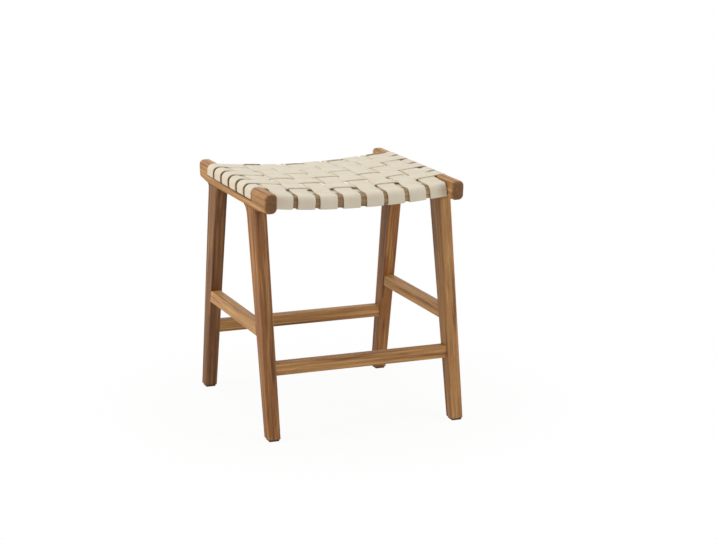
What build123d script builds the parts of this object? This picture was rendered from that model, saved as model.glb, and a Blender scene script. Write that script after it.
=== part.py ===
from build123d import *
from math import asin, atan2, cos, hypot, pi, sin, sqrt
import os

# A wooden stool with a woven leather seat, in millimetres.
# Two side frames stand across the width. Each is a front leg and a back leg that splay
# forwards and backwards under one straight rail, with a stretcher between them. Two saddle
# curved seat rails and two lower stretchers join the frames. Eight leather straps run front
# to back over the curved seat rails, and six run side to side over the side rails, woven
# over one and under one. X is the width, Y runs from front to back and Z is up. The origin
# is on the floor under the middle of the stool.

# Overall sizes
overall_width = 512.0
overall_height = 604.5
frame_thick = 32.0

# Side rails
rail_length = 525.0
rail_height = 48.6
rail_round_outer = 13.0
rail_round_inner = 10.0
rail_ease_bottom = 2.0
rail_tip_round = 13.0
rail_tip_lean = 4.0
rail_tip_ease = 7.0
rail_tip_steps = 3
rail_taper_steps = 4

# Legs, measured on the side of the stool
foot_beyond_rail = 8.5
foot_depth = 34.5
knee_share = 0.6928
knee_depth = 65.0
leg_edge_round = 5.0
flare_outer_radius = 11.0
flare_inner_radius = 32.0
flare_lip = 1.0
flare_steps = 5
foot_ease = 3.0

# Floor pads
pad_inset = 1.0
pad_thick = 3.0

# Curved seat rails at the front and the back
seat_rail_share = 0.875
seat_rail_depth = 40.0
seat_rail_height = 28.0
seat_rail_drop = 23.6
saddle_rise = 12.7
seat_rail_round = 11.0

# Stretchers
cross_stretcher_level = 169.5
cross_stretcher_height = 31.0
cross_stretcher_thick = 31.0
side_stretcher_level = 258.0
side_stretcher_height = 31.0
side_stretcher_thick = 28.5
side_stretcher_setback = 0.6
stretcher_round = 4.5

# Mortise and tenon joints
joint_gap = 0.15
joint_end_gap = 1.0
leg_tenon_length = 24.0
leg_tenon_width = 38.0
leg_tenon_thick = 12.0
leg_tenon_shift = 5.5
seat_tenon_length = 18.0
seat_tenon_height = 15.0
seat_tenon_thick = 13.0
stretcher_tenon_length = 20.0
stretcher_tenon_height = 17.0
stretcher_tenon_thick = 12.0

# Leather straps
strap_share = 0.098
strap_thick = 3.0
strap_clear = 0.3
weave_edge_gap = 0.8
edge_lift = 4.0
crown_rise = 10.0
tuck_length = 21.0
long_strap_shares = (0.0638, 0.1880, 0.3140, 0.4460, 0.5782, 0.6989, 0.8227, 0.9436)
long_lift_shares = (1.0, 0.45, 0.12, 0.0, 0.0, 0.12, 0.45, 1.0)
long_crown_shares = (0.12, 0.75, 0.95, 1.0, 1.0, 0.95, 0.75, 0.12)
cross_strap_shares = (0.2370, 0.3486, 0.4650, 0.5793, 0.6926, 0.8067)

# Bed for the side to side straps in each side rail, and the slot that takes their ends
bed_depth_side = 1.3
bed_depth_top = 2.4
bed_depth_inside = 0.5
bed_round_outer = 12.0
bed_round_inner = 13.5
bed_side_gap = 1.6
slot_height = 5.5
slot_depth = 10.0
slot_sill = 17.0
key_thick = 2.0
key_width = 6.0
key_back_gap = 0.5

# Overrun for cuts
overrun = 4.0

# Places worked out from the sizes
half_width = overall_width / 2
inner_half = half_width - frame_thick
frame_centre = half_width - frame_thick / 2
bed_top = overall_height - strap_thick - strap_clear
rail_bottom = bed_top + bed_depth_top - rail_height
rail_half = rail_length / 2
foot_outer = rail_half + foot_beyond_rail
foot_inner = foot_outer - foot_depth
knee_outer = knee_share * rail_half
knee_inner = knee_outer - knee_depth
outer_slope = (foot_outer - knee_outer) / rail_bottom
inner_slope = (foot_inner - knee_inner) / rail_bottom
seat_face = seat_rail_share * rail_half
seat_back = seat_face - seat_rail_depth
saddle_low = overall_height - seat_rail_drop
saddle_radius = (inner_half**2 + saddle_rise**2) / (2 * saddle_rise)
strap_mid = strap_clear + strap_thick / 2
weave_offset = (strap_thick + strap_clear) / 2
half_strap = strap_share * inner_half
bed_face = half_width - bed_depth_side
bed_inside = inner_half + bed_depth_inside
slot_bottom = rail_bottom + slot_sill
slot_top = slot_bottom + slot_height
slot_back = bed_face - slot_depth
long_places = [-inner_half + share * 2 * inner_half for share in long_strap_shares]
cross_places = [-rail_half + share * rail_length for share in cross_strap_shares]
bed_front = cross_places[0] - half_strap - bed_side_gap
bed_back = cross_places[-1] + half_strap + bed_side_gap


def leg_outer_at(level):
    """Distance of a leg's outer edge from the middle plane at a height above the floor."""
    return foot_outer - outer_slope * level


def leg_inner_at(level):
    """Distance of a leg's inner edge from the middle plane at a height above the floor."""
    return foot_inner - inner_slope * level


def saddle_at(place):
    """Height of the curved seat rail's top at a place across the width."""
    return saddle_low + saddle_radius - sqrt(saddle_radius**2 - place**2)


def saddle_tilt(place):
    """Slope angle of the curved seat rail's top at a place across the width, in radians."""
    return asin(place / saddle_radius)


def strap_corners(path, bends):
    """Corners and radii of the closed outline of a strap along a bent middle line.

    path lists the corners of the middle line and bends the bend radius at each inner one.
    """
    half = strap_thick / 2
    ways = []
    for start, end in zip(path[:-1], path[1:]):
        run = hypot(end[0] - start[0], end[1] - start[1])
        ways.append(((end[0] - start[0]) / run, (end[1] - start[1]) / run))
    left, right, left_radii, right_radii = [], [], [], []
    for index, point in enumerate(path):
        before = ways[max(index - 1, 0)]
        after = ways[min(index, len(ways) - 1)]
        turn = before[0] * after[1] - before[1] * after[0]
        share = half / (1 + before[0] * after[0] + before[1] * after[1])
        step = (-(before[1] + after[1]) * share, (before[0] + after[0]) * share)
        left.append((point[0] + step[0], point[1] + step[1]))
        right.append((point[0] - step[0], point[1] - step[1]))
        if index in (0, len(path) - 1) or bends[index - 1] == 0:
            left_radii.append(0)
            right_radii.append(0)
        else:
            side = half if turn > 0 else -half
            left_radii.append(bends[index - 1] - side)
            right_radii.append(bends[index - 1] + side)
    return left + right[::-1], left_radii + right_radii[::-1]


def leg_edge_at(level, side, radius, slope, at_level):
    """Distance of a leg's edge from the middle plane, with the hollow curve under the rail.

    side is 1 for the outer edge and -1 for the inner one, slope is the straight edge's
    change of place per unit of height, and at_level gives its place at a height.
    """
    stretch = sqrt(1 + slope**2)
    centre_z = rail_bottom + flare_lip - radius
    centre_y = at_level(centre_z) + side * radius * stretch
    if level < centre_z + side * radius * slope / stretch:
        return at_level(level)
    return centre_y - side * sqrt(radius**2 - (level - centre_z) ** 2)


# Side rails. The section has a large round on both top edges, and its ends are shaped
# down and round below. The middle is cut back for the straps, with a slot for their ends.
def rail_outline(bottom_round, inset):
    """Rounded section of the left side rail about its middle height, as a sketch.

    bottom_round rounds both bottom corners and inset brings the outline in on all sides.
    """
    outside = -half_width + inset
    inside = -inner_half - inset
    top = rail_height / 2 - inset
    bottom = -rail_height / 2 + inset
    low_radius = max(bottom_round - inset, rail_ease_bottom)
    with BuildSketch() as outline:
        with BuildLine():
            FilletPolyline(
                (outside, bottom),
                (outside, top),
                (inside, top),
                (inside, bottom),
                radius=[low_radius, rail_round_outer - inset, rail_round_inner - inset, low_radius],
                close=True,
            )
        make_face()
    return outline.sketch


def rail_plane(place, lean):
    """Plane across the side rail at a place along it. lean tips its top away from upright."""
    return Plane(
        origin=(0, place, rail_bottom + rail_height / 2),
        x_dir=(1, 0, 0),
        z_dir=(0, -cos(lean), sin(lean)),
    )


tip_start = leg_outer_at(rail_bottom) + flare_outer_radius
tip_shaped = rail_half - 2 * rail_tip_lean - rail_tip_ease
tip_lean = atan2(rail_tip_lean, rail_height)
with BuildPart() as side_rail_left:
    with BuildSketch(rail_plane(-tip_start, 0)):
        add(rail_outline(rail_ease_bottom, 0))
    extrude(amount=-2 * tip_start)
    for way in (-1, 1):
        for step in range(rail_taper_steps + 1):
            share = step / rail_taper_steps
            with BuildSketch(rail_plane(way * (tip_start + (tip_shaped - tip_start) * share), 0)):
                add(rail_outline(rail_ease_bottom + (rail_tip_round - rail_ease_bottom) * share, 0))
        for step in range(rail_tip_steps + 1):
            turn = pi / 2 * step / rail_tip_steps
            place = rail_half - rail_tip_lean / 2 - rail_tip_ease * (1 - sin(turn))
            with BuildSketch(rail_plane(way * place, way * tip_lean)):
                add(rail_outline(rail_tip_round, rail_tip_ease * (1 - cos(turn))))
        loft(ruled=True)
    with BuildSketch(Plane.XZ.offset(-bed_front)):
        with BuildLine():
            FilletPolyline(
                (-half_width - overrun, slot_bottom),
                (-slot_back, slot_bottom),
                (-slot_back, slot_top),
                (-bed_face, slot_top),
                (-bed_face, bed_top),
                (-bed_inside, bed_top),
                (-bed_inside, bed_top - bed_round_inner - overrun),
                (-inner_half + overrun, bed_top - bed_round_inner - overrun),
                (-inner_half + overrun, overall_height + overrun),
                (-half_width - overrun, overall_height + overrun),
                radius=[0, 0, 0, 0, bed_round_outer, bed_round_inner, 0, 0, 0, 0],
                close=True,
            )
        make_face()
    extrude(amount=bed_front - bed_back, mode=Mode.SUBTRACT)
    tenon_x = -frame_centre + leg_tenon_shift
    for way in (-1, 1):
        with BuildSketch(Plane.XY.offset(rail_bottom)):
            with Locations((tenon_x, way * (knee_outer + knee_inner) / 2)):
                Rectangle(leg_tenon_thick + 2 * joint_gap, leg_tenon_width + 2 * joint_gap)
        extrude(amount=leg_tenon_length + joint_end_gap, mode=Mode.SUBTRACT)
        with BuildSketch(Plane.YZ.offset(-inner_half)):
            with Locations(
                (way * (seat_face + seat_back) / 2, saddle_at(inner_half) - seat_rail_height / 2)
            ):
                Rectangle(seat_tenon_thick + 2 * joint_gap, seat_tenon_height + 2 * joint_gap)
        extrude(amount=-seat_tenon_length - joint_end_gap, mode=Mode.SUBTRACT)

with BuildPart() as side_rail_right:
    add(side_rail_left.part.mirror(Plane.YZ))


# Legs. Each is lofted through rounded sections: a straight taper that leans outwards to the
# floor, with hollow curves that spread it under the rail on both sides.
flare_centre = rail_bottom + flare_lip - flare_inner_radius
flare_reach = asin(1 - flare_lip / flare_inner_radius)
leg_levels = [pad_thick + foot_ease]
for step in range(flare_steps + 1):
    leg_levels.append(flare_centre + flare_inner_radius * sin(flare_reach * step / flare_steps))


def build_leg():
    """Back left leg with its top tenon and the mortises for both stretchers."""
    with BuildPart() as leg:
        for level in [pad_thick] + leg_levels:
            ease = foot_ease if level == pad_thick else 0
            outer = leg_edge_at(level, 1, flare_outer_radius, -outer_slope, leg_outer_at)
            inner = leg_edge_at(level, -1, flare_inner_radius, -inner_slope, leg_inner_at)
            with BuildSketch(Plane.XY.offset(level)):
                with Locations((-frame_centre, (outer + inner) / 2)):
                    RectangleRounded(
                        frame_thick - 2 * ease, outer - inner - 2 * ease, leg_edge_round - ease
                    )
        loft(ruled=True)
        with BuildSketch(Plane.XY.offset(rail_bottom)):
            with Locations((-frame_centre + leg_tenon_shift, (knee_outer + knee_inner) / 2)):
                Rectangle(leg_tenon_thick, leg_tenon_width)
        extrude(amount=leg_tenon_length)
        level = cross_stretcher_level
        with BuildSketch(Plane.YZ.offset(-inner_half)):
            with Locations(((leg_outer_at(level) + leg_inner_at(level)) / 2, level)):
                Rectangle(
                    stretcher_tenon_thick + 2 * joint_gap, stretcher_tenon_height + 2 * joint_gap
                )
        extrude(amount=-stretcher_tenon_length - joint_end_gap, mode=Mode.SUBTRACT)
        level = side_stretcher_level
        with BuildSketch(Plane.XZ.offset(-leg_inner_at(level) - stretcher_tenon_length)):
            with Locations((-half_width + side_stretcher_setback + side_stretcher_thick / 2, level)):
                Rectangle(
                    stretcher_tenon_thick + 2 * joint_gap, stretcher_tenon_height + 2 * joint_gap
                )
        extrude(amount=stretcher_tenon_length * 2, mode=Mode.SUBTRACT)
    return leg.part


with BuildPart() as leg_back_left:
    add(build_leg())

with BuildPart() as leg_back_right:
    add(leg_back_left.part.mirror(Plane.YZ))

with BuildPart() as leg_front_left:
    add(leg_back_left.part.mirror(Plane.XZ))

with BuildPart() as leg_front_right:
    add(leg_back_right.part.mirror(Plane.XZ))


# Floor pads, one glued on under each foot
pad_middle = (leg_outer_at(pad_thick) + leg_inner_at(pad_thick)) / 2
pad_depth = leg_outer_at(pad_thick) - leg_inner_at(pad_thick) - 2 * foot_ease - 2 * pad_inset
pad_width = frame_thick - 2 * foot_ease - 2 * pad_inset


def build_pad(x_way, y_way):
    """Flat pad under one foot."""
    with BuildPart() as pad:
        with BuildSketch(Plane.XY):
            with Locations((x_way * frame_centre, y_way * pad_middle)):
                Rectangle(pad_width, pad_depth)
        extrude(amount=pad_thick)
    return pad.part


with BuildPart() as pad_front_left:
    add(build_pad(-1, -1))

with BuildPart() as pad_front_right:
    add(build_pad(1, -1))

with BuildPart() as pad_back_left:
    add(build_pad(-1, 1))

with BuildPart() as pad_back_right:
    add(build_pad(1, 1))


# Curved seat rails. The top and bottom are arcs that dip in the middle, the outer top edge
# is round for the straps, and a tenon at each end goes into the side rail.
with BuildPart() as seat_rail_back:
    with BuildSketch(Plane.XZ.offset(-seat_face)):
        with BuildLine():
            end_top = saddle_at(inner_half)
            ThreePointArc((-inner_half, end_top), (0, saddle_low), (inner_half, end_top))
            Line((inner_half, end_top), (inner_half, end_top - seat_rail_height))
            ThreePointArc(
                (inner_half, end_top - seat_rail_height),
                (0, saddle_low - seat_rail_height),
                (-inner_half, end_top - seat_rail_height),
            )
            Line((-inner_half, end_top - seat_rail_height), (-inner_half, end_top))
        make_face()
    extrude(amount=seat_rail_depth)
    arcs = seat_rail_back.edges().filter_by(GeomType.CIRCLE)
    fillet(arcs.group_by(Axis.Y)[-1].sort_by(Axis.Z)[-1], radius=seat_rail_round)
    for way in (-1, 1):
        with BuildSketch(Plane.YZ.offset(way * inner_half)):
            with Locations(((seat_face + seat_back) / 2, end_top - seat_rail_height / 2)):
                Rectangle(seat_tenon_thick, seat_tenon_height)
        extrude(amount=way * seat_tenon_length)

with BuildPart() as seat_rail_front:
    add(seat_rail_back.part.mirror(Plane.XZ))


# Lower stretchers between the side frames
cross_stretcher_y = (leg_outer_at(cross_stretcher_level) + leg_inner_at(cross_stretcher_level)) / 2
with BuildPart() as stretcher_back:
    with BuildSketch(Plane.YZ.offset(-inner_half)):
        with Locations((cross_stretcher_y, cross_stretcher_level)):
            RectangleRounded(cross_stretcher_thick, cross_stretcher_height, stretcher_round)
    extrude(amount=2 * inner_half)
    with BuildSketch(Plane.YZ.offset(-inner_half - stretcher_tenon_length)):
        with Locations((cross_stretcher_y, cross_stretcher_level)):
            Rectangle(stretcher_tenon_thick, stretcher_tenon_height)
    extrude(amount=2 * (inner_half + stretcher_tenon_length))

with BuildPart() as stretcher_front:
    add(stretcher_back.part.mirror(Plane.XZ))


# Stretchers between the front and back leg of each side, with ends cut to the legs' slope
side_top = side_stretcher_level + side_stretcher_height / 2
side_bottom = side_stretcher_level - side_stretcher_height / 2
side_stretcher_x = half_width - side_stretcher_setback - side_stretcher_thick / 2
with BuildPart() as stretcher_left:
    with BuildSketch(Plane.YZ.offset(-half_width + side_stretcher_setback)):
        with BuildLine():
            Polyline(
                (-leg_inner_at(side_bottom), side_bottom),
                (leg_inner_at(side_bottom), side_bottom),
                (leg_inner_at(side_top), side_top),
                (-leg_inner_at(side_top), side_top),
                close=True,
            )
        make_face()
    extrude(amount=side_stretcher_thick)
    fillet(stretcher_left.edges().filter_by(Axis.Y), radius=stretcher_round)
    tenon_reach = leg_inner_at(side_stretcher_level) + stretcher_tenon_length - joint_end_gap
    with BuildSketch(Plane.XZ.offset(-tenon_reach)):
        with Locations((-side_stretcher_x, side_stretcher_level)):
            Rectangle(stretcher_tenon_thick, stretcher_tenon_height)
    extrude(amount=2 * tenon_reach)

with BuildPart() as stretcher_right:
    add(stretcher_left.part.mirror(Plane.YZ))


# Leather straps. Each is one thickness along a bent middle line. At a crossing one strap
# lies flat over the other, and it changes level in the gap before the next crossing.
def crossing_sign(long_index, cross_index):
    """1 where the front to back strap is on top of the side to side strap, else -1."""
    return 1 if (long_index + cross_index) % 2 == 0 else -1


def crossing_lift(long_index, cross_index):
    """Rise of the weave over the curve of the seat rails, where the tight straps hold it up."""
    bow = 1 - (cross_places[cross_index] / seat_back) ** 2
    return edge_lift * long_lift_shares[long_index] + crown_rise * long_crown_shares[long_index] * bow


def build_long_strap(index):
    """Front to back strap, drawn on a plane square to the curved seat rail."""
    place = long_places[index]
    tilt = saddle_tilt(place)
    under = -seat_rail_height - strap_mid
    face = seat_face + strap_mid
    path = [(-seat_face + tuck_length, under), (-face, under), (-face, strap_mid)]
    bends = [0, seat_rail_round + strap_mid]
    path.append((-seat_back, strap_mid))
    bends.append(0)
    for cross_index, centre in enumerate(cross_places):
        height = strap_mid + crossing_lift(index, cross_index)
        height += crossing_sign(index, cross_index) * weave_offset
        path.append((centre - half_strap - weave_edge_gap, height))
        path.append((centre + half_strap + weave_edge_gap, height))
        bends += [0, 0]
    path.append((seat_back, strap_mid))
    bends.append(0)
    path += [(face, strap_mid), (face, under), (seat_face - tuck_length, under)]
    bends += [seat_rail_round + strap_mid, 0]
    corners, radii = strap_corners(path, bends)
    across = Plane(
        origin=(place, 0, saddle_at(place)), x_dir=(0, 1, 0), z_dir=(cos(tilt), 0, sin(tilt))
    )
    with BuildPart() as strap:
        with BuildSketch(across):
            with BuildLine():
                FilletPolyline(*corners, radius=radii, close=True)
            make_face()
        extrude(amount=half_strap, both=True)
    return strap.part


def rail_leaving_corner(target):
    """Corner where a strap leaves the level top of the left rail towards a lower point."""
    radius = bed_round_inner + strap_mid
    centre = (-bed_inside - bed_round_inner, bed_top - bed_round_inner)
    reach = hypot(target[0] - centre[0], target[1] - centre[1])
    touch = atan2(target[1] - centre[1], target[0] - centre[0]) + asin(
        sqrt(1 - (radius / reach) ** 2)
    )
    level = bed_top + strap_mid
    touch_point = (centre[0] + radius * cos(touch), centre[1] + radius * sin(touch))
    fall = (level - touch_point[1]) / cos(touch)
    return (touch_point[0] - fall * sin(touch), level)


def build_cross_strap(index):
    """Side to side strap, drawn on a plane across the stool."""
    crossings = []
    for long_index, place in enumerate(long_places):
        tilt = saddle_tilt(place)
        height = strap_mid + crossing_lift(long_index, index)
        height -= crossing_sign(long_index, index) * weave_offset
        middle = (place - height * sin(tilt), saddle_at(place) + height * cos(tilt))
        reach = half_strap + weave_edge_gap
        for way in (-1, 1):
            crossings.append((middle[0] + way * reach * cos(tilt), middle[1] + way * reach * sin(tilt)))
    first = rail_leaving_corner(crossings[0])
    mirrored = rail_leaving_corner((-crossings[-1][0], crossings[-1][1]))
    slot_level = slot_top - strap_mid
    face = bed_face + strap_mid
    path = [(-slot_back - strap_clear, slot_level), (-face, slot_level), (-face, bed_top + strap_mid)]
    bends = [0, bed_round_outer + strap_mid]
    path += [first] + crossings + [(-mirrored[0], mirrored[1])]
    bends += [bed_round_inner + strap_mid] + [0] * len(crossings)
    bends += [bed_round_inner + strap_mid, bed_round_outer + strap_mid, 0]
    path += [(face, bed_top + strap_mid), (face, slot_level), (slot_back + strap_clear, slot_level)]
    corners, radii = strap_corners(path, bends)
    across = Plane(origin=(0, cross_places[index], 0), x_dir=(1, 0, 0), z_dir=(0, -1, 0))
    with BuildPart() as strap:
        with BuildSketch(across):
            with BuildLine():
                FilletPolyline(*corners, radius=radii, close=True)
            make_face()
        extrude(amount=half_strap, both=True)
    return strap.part


# Wooden keys pressed into the slots under the strap ends
with BuildPart() as slot_key_left:
    with BuildSketch(Plane.XZ.offset(-bed_front - bed_side_gap)):
        with Locations((-slot_back - key_back_gap - key_width / 2, slot_bottom + key_thick / 2)):
            Rectangle(key_width, key_thick)
    extrude(amount=bed_front - bed_back + 2 * bed_side_gap)

with BuildPart() as slot_key_right:
    add(slot_key_left.part.mirror(Plane.YZ))


pieces = {
    "side_rail_left": side_rail_left.part,
    "side_rail_right": side_rail_right.part,
    "leg_front_left": leg_front_left.part,
    "leg_front_right": leg_front_right.part,
    "leg_back_left": leg_back_left.part,
    "leg_back_right": leg_back_right.part,
    "pad_front_left": pad_front_left.part,
    "pad_front_right": pad_front_right.part,
    "pad_back_left": pad_back_left.part,
    "pad_back_right": pad_back_right.part,
    "seat_rail_front": seat_rail_front.part,
    "seat_rail_back": seat_rail_back.part,
    "stretcher_front": stretcher_front.part,
    "stretcher_back": stretcher_back.part,
    "stretcher_left": stretcher_left.part,
    "stretcher_right": stretcher_right.part,
    "slot_key_left": slot_key_left.part,
    "slot_key_right": slot_key_right.part,
}
for number in range(len(long_places)):
    pieces[f"long_strap_{number + 1}"] = build_long_strap(number)
for number in range(len(cross_places)):
    pieces[f"cross_strap_{number + 1}"] = build_cross_strap(number)

os.makedirs("parts", exist_ok=True)
for name, piece in pieces.items():
    piece.label = name
    export_step(piece, f"parts/{name}.step")
    print(name, len(piece.solids()), round(piece.volume, 1), piece.is_valid)
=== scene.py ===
"""Looks for a teak stool with a seat woven from flat off-white leather straps.

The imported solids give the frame. The wooden nodes and the floor pads keep their shape and
get their finish, board by board. Every strap solid is replaced by a finer strap on the same
route. Two edge straps under the weave and the tack heads are new pieces. Lengths are
millimetres in the classes and metres in the meshes.
"""

import logging
import math
from dataclasses import dataclass, field
from enum import Enum

import bpy
import numpy as np
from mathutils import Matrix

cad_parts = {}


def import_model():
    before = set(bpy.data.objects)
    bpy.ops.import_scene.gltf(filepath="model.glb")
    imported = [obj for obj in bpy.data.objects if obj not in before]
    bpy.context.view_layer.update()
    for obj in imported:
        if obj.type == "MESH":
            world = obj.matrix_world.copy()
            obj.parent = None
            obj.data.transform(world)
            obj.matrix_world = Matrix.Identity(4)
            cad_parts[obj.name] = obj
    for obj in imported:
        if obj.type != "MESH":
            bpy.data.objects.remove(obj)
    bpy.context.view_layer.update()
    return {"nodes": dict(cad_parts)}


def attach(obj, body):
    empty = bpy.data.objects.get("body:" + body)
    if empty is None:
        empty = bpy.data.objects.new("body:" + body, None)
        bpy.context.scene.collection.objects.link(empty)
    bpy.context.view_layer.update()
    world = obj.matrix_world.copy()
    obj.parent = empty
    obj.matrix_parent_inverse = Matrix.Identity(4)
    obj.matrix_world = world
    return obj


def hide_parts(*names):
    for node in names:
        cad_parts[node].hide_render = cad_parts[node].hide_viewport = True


MM = 0.001
log = logging.getLogger("woven_stool")


def linear(code: str, alpha: float = 1.0) -> tuple[float, float, float, float]:
    """Turn an sRGB hex colour into linear light.

    Args:
        code: Six hex digits, with or without a leading hash.
        alpha: Fourth value of the result.

    Returns:
        Red, green, blue and alpha, each from 0 to 1.
    """
    parts = [int(code.lstrip("#")[i : i + 2], 16) / 255 for i in (0, 2, 4)]
    bent = [p / 12.92 if p <= 0.04045 else ((p + 0.055) / 1.055) ** 2.4 for p in parts]
    return (bent[0], bent[1], bent[2], alpha)


def level(value: float) -> tuple[float, float, float, float]:
    """Grey of one linear value."""
    return (value, value, value, 1.0)


def add_node(
    tree: bpy.types.NodeTree,
    kind: str,
    values: dict | None = None,
    links: dict | None = None,
    **settings: object,
) -> bpy.types.Node:
    """Add one node with its settings, its socket values and its incoming links.

    Sockets go by number where a node has several of one name. In a Map Range 0 is the value,
    1 and 2 are the span that it comes from, 3 and 4 the span that it is taken to. In a
    colour Mix 0 is the share, 6 and 7 are the two colours. In the maths nodes 0, 1 and 2
    are the terms.

    Args:
        tree: Node tree that takes the node.
        kind: Blender's type name of the node.
        values: Socket name or number to plain value.
        links: Socket name or number to the output socket that feeds it.
        settings: Attributes of the node itself.

    Returns:
        The new node.
    """
    node = tree.nodes.new(kind)
    for name, setting in settings.items():
        setattr(node, name, setting)
    for key, value in (values or {}).items():
        node.inputs[key].default_value = value
    for key, socket in (links or {}).items():
        tree.links.new(socket, node.inputs[key])
    return node


def set_stops(node: bpy.types.Node, stops: list[tuple[float, tuple]]) -> None:
    """Fill a colour ramp.

    Args:
        node: Colour ramp node.
        stops: Places from 0 to 1 with their linear colours.
    """
    ramp = node.color_ramp
    while len(ramp.elements) < len(stops):
        ramp.elements.new(0.5)
    for element, (place, colour) in zip(ramp.elements, stops):
        element.position = place
        element.color = colour


def fresh_material(name: str) -> tuple[bpy.types.Material, bpy.types.NodeTree, bpy.types.Node]:
    """Make a material with only a Principled shader and its output.

    Args:
        name: Name of the material.

    Returns:
        The material, its node tree and the shader node.
    """
    material = bpy.data.materials.new(name)
    material.use_nodes = True
    tree = material.node_tree
    tree.nodes.clear()
    shader = add_node(tree, "ShaderNodeBsdfPrincipled")
    add_node(tree, "ShaderNodeOutputMaterial", links={"Surface": shader.outputs["BSDF"]})
    return material, tree, shader


def ring_quads(count: int, ring: int) -> np.ndarray:
    """Faces between neighbouring rings of a closed grid.

    Corner j of ring i has the number i * ring + j, and a ring's last corner joins its first.

    Args:
        count: Number of rings.
        ring: Number of corners in a ring.

    Returns:
        Corner numbers (faces, 4).
    """
    index = np.arange(count * ring).reshape(count, ring)
    here, there = index[:-1], index[1:]
    return np.stack([here, np.roll(here, -1, 1), np.roll(there, -1, 1), there], -1).reshape(-1, 4)


def new_piece(name: str, points: np.ndarray, faces: list[list[int]]) -> bpy.types.Object:
    """Make a smooth mesh object at the origin, with its place in its mesh.

    Args:
        name: Name of the piece.
        points: Corners (n, 3) in millimetres.
        faces: Corner numbers of each face, anticlockwise seen from outside.

    Returns:
        The new object, linked to the scene.
    """
    mesh = bpy.data.meshes.new(name)
    mesh.from_pydata((points * MM).tolist(), [], faces)
    mesh.polygons.foreach_set("use_smooth", np.ones(len(mesh.polygons), bool))
    mesh.update()
    piece = bpy.data.objects.new(name, mesh)
    bpy.context.scene.collection.objects.link(piece)
    return piece


def turned(arrow: np.ndarray, angles: np.ndarray) -> np.ndarray:
    """Plane vector turned by each of the angles, as rows."""
    cos, sin = np.cos(angles), np.sin(angles)
    return np.stack([arrow[0] * cos - arrow[1] * sin, arrow[0] * sin + arrow[1] * cos], 1)


class Grain(Enum):
    """Direction in which the wood fibres of a piece run."""

    ACROSS = "along the width"
    DEEP = "from front to back"
    FRONT_LEG = "up a front leg"
    BACK_LEG = "up a back leg"


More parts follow.
